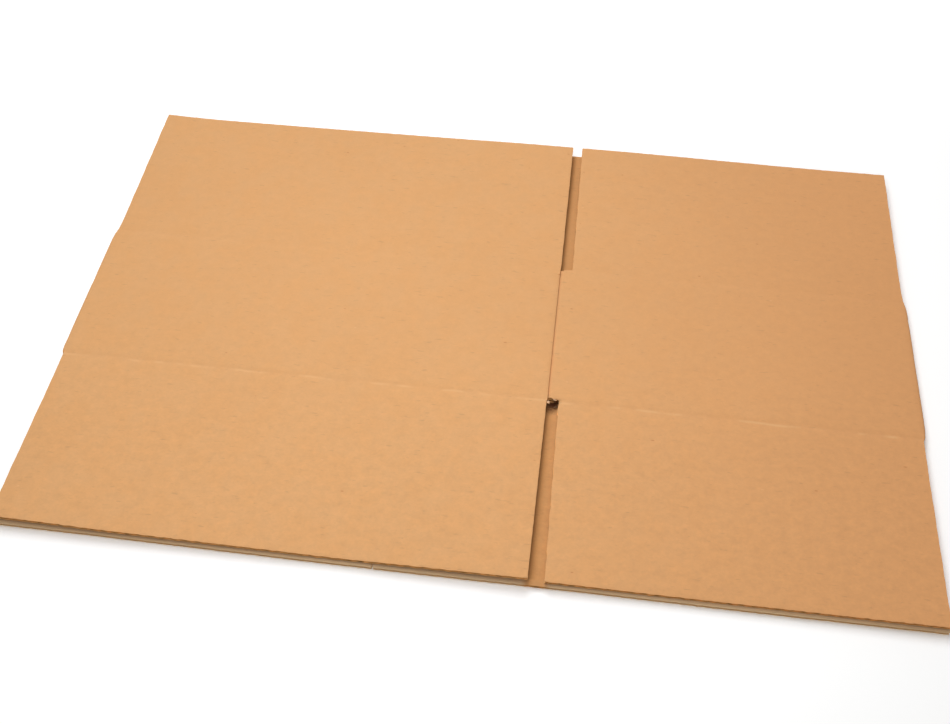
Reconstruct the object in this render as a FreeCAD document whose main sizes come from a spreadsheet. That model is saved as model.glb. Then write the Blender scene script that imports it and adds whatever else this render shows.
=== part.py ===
import FreeCAD, Part
import Sketcher

import os

# A slotted carton of single-wall corrugated board, glued along one seam and folded flat.
# X runs along the four panels, Y along the flutes from front to rear, Z up.
# The origin is under the middle of the flat pack, on the surface that it lies on.

SIZES = {
    "long_panel": (308, "wide wall panel, crease to crease"),
    "short_panel": (224, "narrow wall panel, crease to crease"),
    "wall_height": (101, "panel height between the flap creases"),
    "flap_length": (112, "flap from its crease to its free edge"),
    "board": (3, "thickness of the corrugated board"),
    "liner": (0.35, "thickness of each facing paper"),
    "web": (0.7, "fluted paper, measured along the board"),
    "flute_pitch": (6.5, "distance from one flute to the next"),
    "flute_stop": (4, "crushed board between the flutes' end and the crease"),
    "side_margin": (2.4, "board between the last flute and a flap's side"),
    "fold_bulge": (1.2, "how far a folded edge stands out past its crease"),
    "fold_round": (2.4, "how deep the rounding of a folded edge reaches in"),
    "fold_gap": (0.6, "space between the two layers at a folded edge"),
    "fold_pinch": (2, "from the crease to where the inner facings part"),
    "seam_gap": (0.8, "space under the glue tab at the seam"),
    "seam_step": (1.3, "drop from the wide panel's face to the narrow one's at the seam"),
    "seam_bend": (2, "width of the bend that takes the glue tab under"),
    "tab_width": (35, "glue tab under the wide panel"),
    "tab_taper": (9, "how much each end of the glue tab narrows"),
    "layer_shift": (2, "how far the lower layer lies nearer the front"),
    "fold_inset": (3, "flap's side to the folded edge's crease"),
    "wide_inset": (1.6, "wide flap's side to the seam, at the crease"),
    "narrow_inset": (5, "narrow flap's side to the seam, at the crease"),
    "front_splay": (3, "extra inset of the front flaps at their free edge"),
    "rear_splay": (1.5, "extra inset of the rear flaps at their free edge"),
    "slot_width": (6.5, "slot between the lower layer's flaps"),
    "crease_depth": (0.9, "depth of the pressed line at each crease"),
}

# Places that several pieces share, as expressions on the named sizes.
HALF_LENGTH = "(sizes.long_panel + sizes.short_panel) / 2"
NOSE = f"({HALF_LENGTH} + sizes.fold_bulge)"
SHOULDER = f"({NOSE} - sizes.fold_round)"
SEAM = "(sizes.long_panel - sizes.short_panel) / 2"
FOLD_TOP = "(2 * sizes.board + sizes.fold_gap)"
FOLD_RADIUS = f"({FOLD_TOP} ^ 2 / 4 + sizes.fold_round ^ 2) / (2 * sizes.fold_round)"
TAB_UNDER = "(sizes.board + sizes.seam_gap)"
WIDE_TOP = f"({TAB_UNDER} + 2 * sizes.board)"
NARROW_TOP = f"({WIDE_TOP} - sizes.seam_step)"
UPPER_Y = "(sizes.layer_shift / 2)"
LOWER_Y = "(-sizes.layer_shift / 2)"
HALF_WALL = "(sizes.wall_height / 2)"
HALF_DEPTH = "(sizes.wall_height / 2 + sizes.flap_length)"
FLUTE_RUN = "(sizes.flap_length - sizes.flute_stop)"

# Two places closer than this are taken to be the same.
TOLERANCE = 0.01


def make_sheet(document):
    """Write the driving sizes into a spreadsheet, one aliased cell for each."""
    sheet = document.addObject("Spreadsheet::Sheet", "sizes")
    for row, (alias, (value, meaning)) in enumerate(SIZES.items(), start=1):
        sheet.set(f"A{row}", alias)
        sheet.set(f"B{row}", str(value))
        sheet.set(f"C{row}", meaning)
        sheet.setAlias(f"B{row}", alias)
    document.recompute()
    return sheet


def make_body(document, name):
    """Make an empty body whose label names its piece."""
    body = document.addObject("PartDesign::Body", name)
    body.Label = name
    return body


def make_sketch(body, name, role, offset="0"):
    """Attach a sketch to one of the body's origin planes, moved along the plane's normal."""
    sketch = body.newObject("Sketcher::SketchObject", name)
    plane = next(item for item in body.Origin.OriginFeatures if item.Role == role)
    sketch.AttachmentSupport = [(plane, "")]
    sketch.MapMode = "FlatFace"
    sketch.setExpression("AttachmentOffset.Base.z", offset)
    return sketch


def add_outline(sketch, corners, arcs=None):
    """Draw a closed outline whose corners are pairs of expressions, each bound to the sheet.

    "arcs" gives, for each side that is round, a place on it and its radius.
    """
    def place_of(corner):
        return FreeCAD.Vector(*(float(sketch.evalExpression(text)) for text in corner), 0)

    arcs = arcs or {}
    places = [place_of(corner) for corner in corners]
    first = sketch.GeometryCount
    count = len(places)
    for index, place in enumerate(places):
        end = places[(index + 1) % count]
        if index in arcs:
            middle, radius = arcs[index]
            side = sketch.addGeometry(Part.Arc(place, place_of(middle), end), False)
            drawn = sketch.Geometry[side].Radius
            number = sketch.addConstraint(Sketcher.Constraint("Radius", side, drawn))
            sketch.setExpression(f"Constraints[{number}]", radius)
        else:
            sketch.addGeometry(Part.LineSegment(place, end), False)
    for index, corner in enumerate(corners):
        line = first + index
        following = first + (index + 1) % count
        sketch.addConstraint(Sketcher.Constraint("Coincident", line, 2, following, 1))
        for kind, text, value in zip(("DistanceX", "DistanceY"), corner, places[index]):
            number = sketch.addConstraint(Sketcher.Constraint(kind, -1, 1, line, 1, value))
            sketch.setExpression(f"Constraints[{number}]", text)


def add_feature(body, kind, name, sketch, length, **settings):
    """Pad or pocket a sketch by a length that is bound to the sheet."""
    feature = body.newObject(kind, name)
    feature.Profile = sketch
    for setting, value in settings.items():
        setattr(feature, setting, value)
    feature.setExpression("Length", length)
    sketch.Visibility = False
    return feature


def add_bevel(document, body, name, chosen):
    """Bevel the creased edges of the body's last feature that the test picks out."""
    document.recompute()
    base = body.Tip
    edges = [f"Edge{number}" for number, edge in enumerate(base.Shape.Edges, start=1) if chosen(edge)]
    if not edges:
        raise RuntimeError(f"{name} has no edge to bevel")
    bevel = body.newObject("PartDesign::Chamfer", name)
    bevel.Base = (base, edges)
    bevel.setExpression("Size", "sizes.crease_depth")


def add_flutes(document, body, name, start, width, edges, under):
    """Cut the rows of flute tunnels that open at the free edges of one or two flaps.

    The tunnels run along Y in a board whose underside is at the height "under". The flap's
    side is at "start" and it is "width" wide. "edges" holds each free edge's place along Y
    and whether the flap lies at the rear.
    """
    half = "(sizes.flute_pitch - sizes.web) / 2"
    rise = f"(sizes.board - 2 * sizes.liner) * 2 * {half} / sizes.flute_pitch"
    low = f"{under} + sizes.liner"
    high = f"{under} + sizes.board - sizes.liner"
    first = f"{start} + sizes.side_margin + {half}"
    second = f"{first} + sizes.flute_pitch / 2"
    tunnels = []
    for number, (edge, at_rear) in enumerate(edges, start=1):
        sketch = make_sketch(body, f"{name}_flute_outline_{number}", "XZ_Plane", f"-({edge})")
        add_outline(sketch, [
            (f"{first} - {half}", low), (f"{first} + {half}", low), (first, f"{low} + {rise}")])
        add_outline(sketch, [
            (f"{second} - {half}", high), (second, f"{high} - {rise}"), (f"{second} + {half}", high)])
        tunnels.append(add_feature(
            body, "PartDesign::Pocket", f"{name}_flute_{number}", sketch, FLUTE_RUN,
            Reversed=at_rear, Refine=False))
    document.recompute()
    room = f"{width} - 2 * sizes.side_margin - sizes.flute_pitch / 2 - 2 * {half}"
    rows = body.newObject("PartDesign::LinearPattern", f"{name}_flutes")
    rows.Refine = False
    rows.Originals = tunnels
    rows.Direction = (tunnels[0].Profile[0], ["H_Axis"])
    rows.setExpression("Occurrences", f"floor(({room}) / sizes.flute_pitch) + 1")
    rows.setExpression("Length", f"floor(({room}) / sizes.flute_pitch) * sizes.flute_pitch")
    body.Tip = rows
    document.recompute()


def make_wall(document):
    """Build the glued sleeve of four panels with the lower layer's four flaps."""
    body = make_body(document, "folded_wall")
    strip = make_sketch(body, "strip_section", "XZ_Plane", f"-{UPPER_Y}")
    wide_under = f"{WIDE_TOP} - sizes.board"
    fold_under = f"{FOLD_TOP} - sizes.board"
    pinch = f"({HALF_LENGTH} - sizes.fold_pinch)"
    bend_end = f"{SEAM} + sizes.seam_bend"
    fold_middle = f"{FOLD_TOP} / 2"
    add_outline(strip, [
        (SEAM, WIDE_TOP), (f"-{SHOULDER}", FOLD_TOP), (f"-{SHOULDER}", "0"), (SHOULDER, "0"),
        (SHOULDER, FOLD_TOP), (bend_end, NARROW_TOP), (bend_end, f"{NARROW_TOP} - sizes.board"),
        (pinch, fold_under), (pinch, "sizes.board"), (f"-{pinch}", "sizes.board"),
        (f"-{pinch}", fold_under), (SEAM, wide_under)],
        arcs={1: ((f"-{NOSE}", fold_middle), FOLD_RADIUS), 3: ((NOSE, fold_middle), FOLD_RADIUS)})
    add_feature(body, "PartDesign::Pad", "strip", strip, "sizes.wall_height", Midplane=True)

    bend = make_sketch(body, "bend_section", "XZ_Plane", f"-{UPPER_Y}")
    add_outline(bend, [
        (SEAM, TAB_UNDER), (bend_end, f"{NARROW_TOP} - sizes.board"), (bend_end, NARROW_TOP),
        (SEAM, wide_under)])
    add_feature(body, "PartDesign::Pad", "tab_bend", bend, "sizes.wall_height", Midplane=True)

    tab = make_sketch(body, "tab_outline", "XY_Plane", TAB_UNDER)
    tab_end = f"{SEAM} - sizes.tab_width"
    tab_half = f"({HALF_WALL} - sizes.tab_taper)"
    add_outline(tab, [
        (SEAM, f"{UPPER_Y} - {HALF_WALL}"), (SEAM, f"{UPPER_Y} + {HALF_WALL}"),
        (tab_end, f"{UPPER_Y} + {tab_half}"), (tab_end, f"{UPPER_Y} - {tab_half}")])
    add_feature(body, "PartDesign::Pad", "glue_tab", tab, "sizes.board")

    lower = make_sketch(body, "lower_outline", "XY_Plane")
    side = f"({HALF_LENGTH} - sizes.fold_inset)"
    slot_left = f"-{SEAM} - sizes.slot_width / 2"
    slot_right = f"-{SEAM} + sizes.slot_width / 2"
    front = f"{LOWER_Y} - {HALF_DEPTH}"
    rear = f"{LOWER_Y} + {HALF_DEPTH}"
    front_crease = f"{LOWER_Y} - {HALF_WALL}"
    rear_crease = f"{LOWER_Y} + {HALF_WALL}"
    add_outline(lower, [
        (f"-{side}", front), (slot_left, front), (slot_left, front_crease), (slot_right, front_crease),
        (slot_right, front), (side, front), (side, rear), (slot_right, rear), (slot_right, rear_crease),
        (slot_left, rear_crease), (slot_left, rear), (f"-{side}", rear)])
    add_feature(body, "PartDesign::Pad", "lower_layer", lower, "sizes.board")
    document.recompute()

    fold_top = float(lower.evalExpression(FOLD_TOP))
    half_wall = float(lower.evalExpression(HALF_WALL))
    add_bevel(document, body, "upper_creases",
              lambda edge: is_upper_end(edge.BoundBox, fold_top, half_wall))

    creases = make_sketch(body, "lower_creases_section", "YZ_Plane")
    for middle in (front_crease, rear_crease):
        add_outline(creases, [
            (f"{middle} - sizes.crease_depth", "0"), (f"{middle} + sizes.crease_depth", "0"),
            (middle, "sizes.crease_depth")])
    add_feature(body, "PartDesign::Pocket", "lower_creases", creases, f"2 * {side}", Midplane=True)

    corner = make_sketch(body, "corner_crease_section", "XZ_Plane", f"-{LOWER_Y}")
    add_outline(corner, [
        (f"-{SEAM} - sizes.crease_depth", "0"), (f"-{SEAM} + sizes.crease_depth", "0"),
        (f"-{SEAM}", "sizes.crease_depth")])
    add_feature(body, "PartDesign::Pocket", "corner_crease", corner, "sizes.wall_height", Midplane=True)
    document.recompute()

    narrow_width = f"(sizes.short_panel - sizes.fold_inset - sizes.slot_width / 2)"
    wide_width = f"(sizes.long_panel - sizes.fold_inset - sizes.slot_width / 2)"
    edges = ((front, False), (rear, True))
    add_flutes(document, body, "lower_narrow", f"-{side}", narrow_width, edges, "0")
    add_flutes(document, body, "lower_wide", slot_right, wide_width, edges, "0")
    return body


def is_upper_end(box, fold_top, half_wall):
    """Tell whether an edge with this box is an upper panel's top edge at a flap crease."""
    across = box.YLength < TOLERANCE and box.XLength > half_wall
    return across and box.ZMax > fold_top + TOLERANCE and box.ZMin > fold_top - TOLERANCE


def make_flap(document, name, panel, hand, side, seam_inset, splay, rise, run):
    """Build one upper flap, flat in its own frame, and lay it level with its panel.

    The flap's frame has its origin on the crease, where the folded edge's rounding begins.
    "hand" is 1 on the wide panel, which lies left of the seam, and -1 on the narrow one.
    "side" is 1 at the rear and -1 at the front.
    """
    body = make_body(document, name)
    near = "(sizes.fold_inset + sizes.fold_bulge - sizes.fold_round)"
    far_crease = f"({panel} + sizes.fold_bulge - sizes.fold_round - {seam_inset})"
    far_edge = f"({far_crease} - {splay})"
    free = f"({side} * sizes.flap_length)"
    outline = make_sketch(body, f"{name}_outline", "XY_Plane", "-sizes.board")
    add_outline(outline, [
        (f"{hand} * {near}", "0"), (f"{hand} * {far_crease}", "0"),
        (f"{hand} * {far_edge}", free), (f"{hand} * {near}", free)])
    add_feature(body, "PartDesign::Pad", f"{name}_board", outline, "sizes.board")
    add_bevel(document, body, f"{name}_crease", lambda edge: is_flap_crease(edge.BoundBox))
    document.recompute()
    start = near if hand > 0 else f"-{far_edge}"
    add_flutes(document, body, name, start, f"({far_edge} - {near})", [(free, side > 0)],
               "-sizes.board")

    angle = f"atan(({rise}) / ({run}))"
    body.Placement = FreeCAD.Placement(FreeCAD.Vector(), FreeCAD.Rotation(FreeCAD.Vector(0, 1, 0), 1))
    body.setExpression("Placement.Base.x", f"{-hand} * {SHOULDER}")
    body.setExpression("Placement.Base.y", f"{UPPER_Y} + {side} * {HALF_WALL}")
    body.setExpression("Placement.Base.z", FOLD_TOP)
    body.setExpression("Placement.Rotation.Angle", f"{-hand} * {angle}")
    return body


def is_flap_crease(box):
    """Tell whether an edge with this box is a flap's top edge at its crease."""
    return max(abs(box.YMin), abs(box.YMax), abs(box.ZMin)) < TOLERANCE


def make_flaps(document):
    """Build the four flaps of the upper layer, which hinge at their creases."""
    wide = ("sizes.long_panel", 1, "sizes.wide_inset", f"{WIDE_TOP} - {FOLD_TOP}",
            "sizes.long_panel + sizes.fold_bulge - sizes.fold_round")
    narrow = ("sizes.short_panel", -1, "sizes.narrow_inset", f"{NARROW_TOP} - {FOLD_TOP}",
              "sizes.short_panel + sizes.fold_bulge - sizes.fold_round - sizes.seam_bend")
    flaps = []
    for kind, (panel, hand, inset, rise, run) in (("wide", wide), ("narrow", narrow)):
        for place, side, splay in (("front", -1, "sizes.front_splay"), ("rear", 1, "sizes.rear_splay")):
            flaps.append(make_flap(
                document, f"{place}_{kind}_flap", panel, hand, side, inset, splay, rise, run))
    return flaps


def check_document(document, pieces):
    """Stop if any object failed or any piece has no valid single solid."""
    document.recompute()
    failed = [item.Name for item in document.Objects if {"Invalid", "Error"} & set(item.State)]
    if failed:
        raise RuntimeError("failed objects: " + ", ".join(failed))
    for piece in pieces:
        shape = piece.Shape
        if shape.isNull() or not shape.isValid() or len(shape.Solids) != 1:
            raise RuntimeError(f"{piece.Label} is not one valid solid")


def main():
    """Build the flat carton and write one STEP file for each piece."""
    document = FreeCAD.newDocument("flat_carton")
    make_sheet(document)
    pieces = [make_wall(document)] + make_flaps(document)
    check_document(document, pieces)
    os.makedirs("parts", exist_ok=True)
    for piece in pieces:
        piece.Shape.exportStep(f"parts/{piece.Label}.step")
        box = piece.Shape.BoundBox
        print(piece.Label, round(piece.Shape.Volume, 1), [round(value, 2) for value in (
            box.XMin, box.XMax, box.YMin, box.YMax, box.ZMin, box.ZMax)])


main()
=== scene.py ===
import logging
import math
from dataclasses import dataclass, field
from enum import IntEnum

import bmesh
import bpy
import numpy as np
from mathutils import Euler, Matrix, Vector


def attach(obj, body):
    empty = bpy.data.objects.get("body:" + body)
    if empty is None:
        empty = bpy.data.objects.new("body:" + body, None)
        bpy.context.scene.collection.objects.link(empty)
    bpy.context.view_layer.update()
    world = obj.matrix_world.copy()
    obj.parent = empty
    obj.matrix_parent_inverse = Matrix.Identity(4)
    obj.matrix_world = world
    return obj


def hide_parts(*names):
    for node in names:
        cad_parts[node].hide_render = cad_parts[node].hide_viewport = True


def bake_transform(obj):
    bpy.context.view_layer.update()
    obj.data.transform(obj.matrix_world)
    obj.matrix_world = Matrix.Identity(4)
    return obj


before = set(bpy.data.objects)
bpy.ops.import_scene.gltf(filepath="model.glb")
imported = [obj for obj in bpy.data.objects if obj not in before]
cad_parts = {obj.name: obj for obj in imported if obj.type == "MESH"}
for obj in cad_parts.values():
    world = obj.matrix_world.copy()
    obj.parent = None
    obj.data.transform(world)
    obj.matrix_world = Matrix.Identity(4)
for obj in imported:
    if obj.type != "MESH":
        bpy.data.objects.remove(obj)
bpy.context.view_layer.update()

LOG = logging.getLogger("flat_carton")
MM = 0.001
PHOTO_WIDTH = 950
PHOTO_HEIGHT = 724


class Finish(IntEnum):
    """The kinds of paper surface, in the order of a board's material slots."""

    OUTER = 0
    INNER = 1
    FLUTE = 2
    CUT = 3
    TORN = 4


@dataclass(frozen=True)
class BoardSizes:
    """Sizes of the single-wall board, in metres."""

    thickness: float = 3.0 * MM
    facing: float = 0.35 * MM
    flute_pitch: float = 6.5 * MM
    flute_paper: float = 0.24 * MM
    crushed: float = 0.8 * MM
    crush_reach: float = 2.6 * MM
    edge_squeeze: float = 0.35 * MM
    squeeze_reach: float = 1.2 * MM
    edge_droop: float = 0.22 * MM
    droop_reach: float = 0.7 * MM


@dataclass(frozen=True)
class CartonSizes:
    """Places of the folded carton's panels, flaps and creases, in metres."""

    left_shoulder: float = -263.7 * MM
    right_shoulder: float = 262.9 * MM
    bulge: float = 2.4 * MM
    fold_top: float = 6.6 * MM
    seam: float = 40.0 * MM
    bend_end: float = 42.5 * MM
    tab_end: float = 7.0 * MM
    tab_taper: float = 9.0 * MM
    flap_side: float = 263.0 * MM
    upper_front_crease: float = -49.5 * MM
    upper_rear_crease: float = 51.5 * MM
    upper_front_edge: float = -161.4 * MM
    upper_rear_edge: float = 163.4 * MM
    lower_front_crease: float = -51.5 * MM
    lower_rear_crease: float = 49.5 * MM
    lower_rear_edge: float = 161.0 * MM
    lower_front_limit: float = -163.45 * MM
    lower_slot: float = -46.0 * MM
    lower_slot_half: float = 0.35 * MM
    overlap: float = 5.0 * MM
    inner_inset: float = 1.4 * MM


BOARD = BoardSizes()
CARTON = CartonSizes()


def smooth_line(places: np.ndarray, knots: tuple[tuple[float, float], ...]) -> np.ndarray:
    """Read a smooth line through knots.

    Args:
        places: Where to read the line.
        knots: Pairs of place and value, in rising order of place.

    Returns:
        The line's value at each place.
    """
    known = np.array([knot[0] for knot in knots])
    value = np.array([knot[1] for knot in knots])
    slope = np.gradient(value, known)
    span = np.clip(np.searchsorted(known, places) - 1, 0, len(known) - 2)
    width = known[span + 1] - known[span]
    share = np.clip((places - known[span]) / width, 0.0, 1.0)
    square = share * share
    cube = square * share
    start = (2 * cube - 3 * square + 1) * value[span] + (cube - 2 * square + share) * width * slope[span]
    end = (3 * square - 2 * cube) * value[span + 1] + (cube - square) * width * slope[span + 1]
    return start + end


def ripple(places: np.ndarray, longest: float, size: float, seed: int) -> np.ndarray:
    """Give an uneven wave made of six sines.

    Args:
        places: Where to read the wave, in metres.
        longest: Length of the longest sine, in metres.
        size: Rough height of the wave, in metres.
        seed: Seed of the random lengths and phases.

    Returns:
        The wave's height at each place.
    """
    random = np.random.default_rng(seed)
    wave = np.zeros_like(places)
    length = longest
    for _ in range(6):
        phase = random.uniform(0.0, 2 * math.pi)
        wave = wave + size * (length / longest) ** 0.6 * np.sin(2 * math.pi * places / length + phase)
        length *= random.uniform(0.45, 0.62)
    return wave * 0.5


def ease(share: np.ndarray) -> np.ndarray:
    """Ease a share from 0 to 1 with level ends."""
    bounded = np.clip(share, 0.0, 1.0)
    return bounded * bounded * (3 - 2 * bounded)


def spread(*stops: tuple[float, float]) -> np.ndarray:
    """List places along a line with a spacing of its own on each stretch.

    Args:
        stops: The first place with any spacing, then the end and the spacing of each stretch.

    Returns:
        The places in rising or falling order.
    """
    places = [stops[0][0]]
    for end, spacing in stops[1:]:
        start = places[-1]
        count = max(1, round(abs(end - start) / spacing))
        places.extend(start + (end - start) * step / count for step in range(1, count + 1))
    return np.array(places)


def read_places(piece: bpy.types.Object) -> np.ndarray:
    """Read a piece's vertices.

    Args:
        piece: The piece to read.

    Returns:
        The places as vertices by three, in metres.
    """
    flat = np.empty(len(piece.data.vertices) * 3)
    piece.data.vertices.foreach_get("co", flat)
    return flat.reshape(-1, 3)


def write_places(piece: bpy.types.Object, x: np.ndarray, y: np.ndarray, z: np.ndarray) -> None:
    """Move a piece's vertices."""
    piece.data.vertices.foreach_set("co", np.stack([x, y, z], -1).ravel())
    piece.data.update()


class UpperFace:
    """Height of the upper layer's outer face, with the carton's warps and creases."""

    rear_wide = ((-265, 8.9), (-240, 8.0), (-175, 7.9), (-100, 8.4), (-40, 9.0), (0, 9.6), (42, 9.75))
    front_wide = ((-265, 8.1), (-232, 8.1), (-205, 8.0), (-150, 7.6), (-100, 7.3), (-65, 6.8),
                  (-30, 7.9), (5, 8.5), (42, 9.6))
    rear_narrow = ((42, 9.75), (70, 9.72), (90, 9.6), (115, 9.3), (160, 8.6), (210, 8.0), (265, 8.1))
    front_narrow = ((42, 7.2), (75, 6.8), (105, 6.35), (150, 6.2), (205, 6.3), (265, 7.1))
    front_retreat = ((-265, 0.85), (-230, 0.55), (-205, 0.1), (-180, 0.0), (265, 0.0))
    crease_wide = ((-265, 6.6), (-110, 7.5), (42, 8.5))
    crease_narrow = ((42, 7.6), (150, 7.1), (265, 6.6))

    @classmethod
    def height(cls, x: np.ndarray, y: np.ndarray, narrow: bool) -> np.ndarray:
        """Give the face's height.

        Args:
            x: Places along the row of panels, in metres.
            y: Places from front to rear, in metres.
            narrow: Whether to read the narrow panel's side of the seam.

        Returns:
            Height above the floor, in metres.
        """
        along = x / MM
        panel = smooth_line(along, cls.crease_narrow if narrow else cls.crease_wide)
        front = smooth_line(along, cls.front_narrow if narrow else cls.front_wide)
        rear = smooth_line(along, cls.rear_narrow if narrow else cls.rear_wide)
        front_run = CARTON.upper_front_crease - CARTON.upper_front_edge
        rear_run = CARTON.upper_rear_edge - CARTON.upper_rear_crease
        forward = np.clip((CARTON.upper_front_crease - y) / front_run, 0.0, 1.05)
        backward = np.clip((y - CARTON.upper_rear_crease) / rear_run, 0.0, 1.05)
        level = panel + (front - panel) * forward ** 1.15 + (rear - panel) * backward ** 1.15
        return level * MM - cls.valley(x, y)

    @staticmethod
    def valley(x: np.ndarray, y: np.ndarray) -> np.ndarray:
        """Give the depth of the pressed creases' shallow valleys.

        Args:
            x: Places along the row of panels, in metres.
            y: Places from front to rear, in metres.

        Returns:
            Depth below the warped face, in metres.
        """
        wander = ripple(x, 60 * MM, 0.35 * MM, 11)
        front = y - CARTON.upper_front_crease - wander
        rear = y - CARTON.upper_rear_crease + wander
        reach_front = np.where(front > 0, 2.0 * MM, 3.2 * MM)
        reach_rear = np.where(rear > 0, 3.2 * MM, 2.4 * MM)
        return (0.34 * MM * np.exp(-(front / reach_front) ** 2)
                + 0.2 * MM * np.exp(-(rear / reach_rear) ** 2))

    @classmethod
    def retreat(cls, x: np.ndarray, y: np.ndarray) -> np.ndarray:
        """Give how far the front flaps' uneven cut sets a place back.

        Args:
            x: Places along the row of panels, in metres.
            y: Places from front to rear, in metres.

        Returns:
            Shift towards the rear, in metres.
        """
        run = CARTON.upper_front_crease - CARTON.upper_front_edge
        share = np.clip((CARTON.upper_front_crease - y) / run, 0.0, 1.05)
        return smooth_line(x / MM, cls.front_retreat) * MM * share ** 2

    @staticmethod
    def thickness(y: np.ndarray) -> np.ndarray:
        """Thickness of the board at a place, which is crushed along the creases."""
        near = np.minimum(np.abs(y - CARTON.upper_front_crease), np.abs(y - CARTON.upper_rear_crease))
        return BOARD.thickness - BOARD.crushed * np.exp(-(near / BOARD.crush_reach) ** 2)


@dataclass
class Shell:
    """Vertices and faces gathered for one piece."""

    places: list[np.ndarray] = field(default_factory=list)
    faces: list[np.ndarray] = field(default_factory=list)
    finishes: list[np.ndarray] = field(default_factory=list)
    count: int = 0

    def add_slab(self, top: np.ndarray, bottom: np.ndarray, above: Finish, below: Finish) -> None:
        """Add a closed sheet between two grids of places.

        Args:
            top: Places of the upper side, as rows by columns by three.
            bottom: Places of the lower side, in the same order.
            above: Finish of the upper side.
            below: Finish of the lower side.
        """
        rows, columns = top.shape[:2]
        upper = np.arange(rows * columns).reshape(rows, columns) + self.count
        lower = upper + rows * columns
        self.places.extend((top.reshape(-1, 3), bottom.reshape(-1, 3)))
        self.count += 2 * rows * columns
        self._add_faces(self._quads(upper), above)
        self._add_faces(self._quads(lower)[:, ::-1], below)
        borders = ((upper[0], lower[0]), (upper[:, -1], lower[:, -1]),
                   (upper[-1, ::-1], lower[-1, ::-1]), (upper[::-1, 0], lower[::-1, 0]))
        for high, low in borders:
            self._add_faces(np.stack([low[:-1], low[1:], high[1:], high[:-1]], -1), Finish.CUT)

    @staticmethod
    def _quads(index: np.ndarray) -> np.ndarray:
        """List the four corners of each cell of a grid of vertex numbers."""
        corners = (index[:-1, :-1], index[:-1, 1:], index[1:, 1:], index[1:, :-1])
        return np.stack(corners, -1).reshape(-1, 4)

    def _add_faces(self, quads: np.ndarray, finish: Finish) -> None:
        """Keep quads of one finish."""
        self.faces.append(quads)
        self.finishes.append(np.full(len(quads), int(finish)))

    def make(self, name: str, materials: list[bpy.types.Material]) -> bpy.types.Object:
        """Turn what was gathered into an object.

        Args:
            name: Name of the piece.
            materials: The board's materials in the order of Finish.

        Returns:
            The new object, at the origin.
        """
        mesh = bpy.data.meshes.new(name)
        mesh.from_pydata(np.concatenate(self.places).tolist(), [], np.concatenate(self.faces).tolist())
        for material in materials:
            mesh.materials.append(material)
        mesh.polygons.foreach_set("material_index", np.concatenate(self.finishes).astype(np.int32))
        self._turn_outwards(mesh)
        mesh.shade_smooth()
        mesh.set_sharp_from_angle(angle=math.radians(38))
        piece = bpy.data.objects.new(name, mesh)
        bpy.context.scene.collection.objects.link(piece)
        return piece

    @staticmethod
    def _turn_outwards(mesh: bpy.types.Mesh) -> None:
        """Point every closed sheet's faces outwards.

        Args:
            mesh: The mesh to mend.
        """
        work = bmesh.new()
        work.from_mesh(mesh)
        bmesh.ops.recalc_face_normals(work, faces=work.faces)
        work.to_mesh(mesh)
        work.free()
        mesh.update()


class NodeSketch:
    """Small helper that adds and joins nodes of one tree."""

    def __init__(self, tree: bpy.types.NodeTree) -> None:
        """Keep the tree to draw in."""
        self.tree = tree

    def add(self, kind: str, inputs: dict | None = None, **settings: object) -> bpy.types.Node:
        """Add a node.

        Args:
            kind: The node's type name.
            inputs: Values or sockets for its inputs, by name or number.
            settings: Properties of the node.

        Returns:
            The new node.
        """
        node = self.tree.nodes.new(kind)
        for key, value in settings.items():
            setattr(node, key, value)
        for key, value in (inputs or {}).items():
            self.feed(node.inputs[key], value)
        return node

    def feed(self, socket: bpy.types.NodeSocket, value: object) -> None:
        """Join a socket to an input, or set the input's value.

        Args:
            socket: The input.
            value: The socket to join, or the value to set.
        """
        if isinstance(value, bpy.types.NodeSocket):
            self.tree.links.new(value, socket)
        else:
            socket.default_value = value

    def math(self, operation: str, first: object, second: object = 0.0, third: object = 0.0,
             clamp: bool = False) -> bpy.types.NodeSocket:
        """Add a math node and give its output."""
        inputs = {0: first, 1: second, 2: third}
        return self.add("ShaderNodeMath", inputs, operation=operation, use_clamp=clamp).outputs[0]

    def curve(self, value: object, low: float, high: float) -> bpy.types.NodeSocket:
        """Map a value smoothly from low..high to 0..1."""
        inputs = {"Value": value, "From Min": low, "From Max": high}
        return self.add("ShaderNodeMapRange", inputs, interpolation_type="SMOOTHSTEP").outputs["Result"]

    def inverse(self, value: object) -> bpy.types.NodeSocket:
        """Take a value from 1."""
        return self.math("SUBTRACT", 1.0, value)

    def noise(self, place: object, scale: float, detail: float, rough: float = 0.5) -> bpy.types.NodeSocket:
        """Add a noise texture and give its factor."""
        inputs = {"Vector": place, "Scale": scale, "Detail": detail, "Roughness": rough}
        return self.add("ShaderNodeTexNoise", inputs).outputs["Fac"]

    def stretch(self, place: object, scale: tuple[float, float, float],
                shift: tuple[float, float, float] = (0.0, 0.0, 0.0)) -> bpy.types.NodeSocket:
        """Scale a place and then shift it."""
        node = self.add("ShaderNodeVectorMath", {0: place, 1: scale, 2: shift}, operation="MULTIPLY_ADD")
        return node.outputs["Vector"]


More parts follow.
